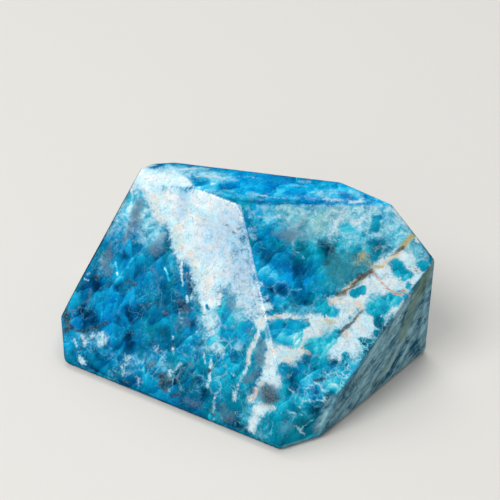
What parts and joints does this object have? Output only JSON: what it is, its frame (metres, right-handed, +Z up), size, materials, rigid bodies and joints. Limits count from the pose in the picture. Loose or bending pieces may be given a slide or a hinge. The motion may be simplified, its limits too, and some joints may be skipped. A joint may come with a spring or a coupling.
{
  "type": "polished blue apatite freeform",
  "caption": "Polished freeform of blue apatite: a low, wedge-shaped stone with flat cut faces meeting in crisp arrises, flat underneath so that it stands by itself.",
  "frame": {"origin": "middle of the stone's footprint, at the height of the surface that it stands on", "axes": "+Z up, +X along the stone's length, to the right in the picture, -Y towards the camera, from which the two big sloping faces are seen"},
  "size_m": [0.0708, 0.0584, 0.0317],
  "materials": {
    "apatite": "polished, semi-gloss"
  },
  "bodies": {
    "root": {"apatite": "apatite"}
  },
  "joints": []
}
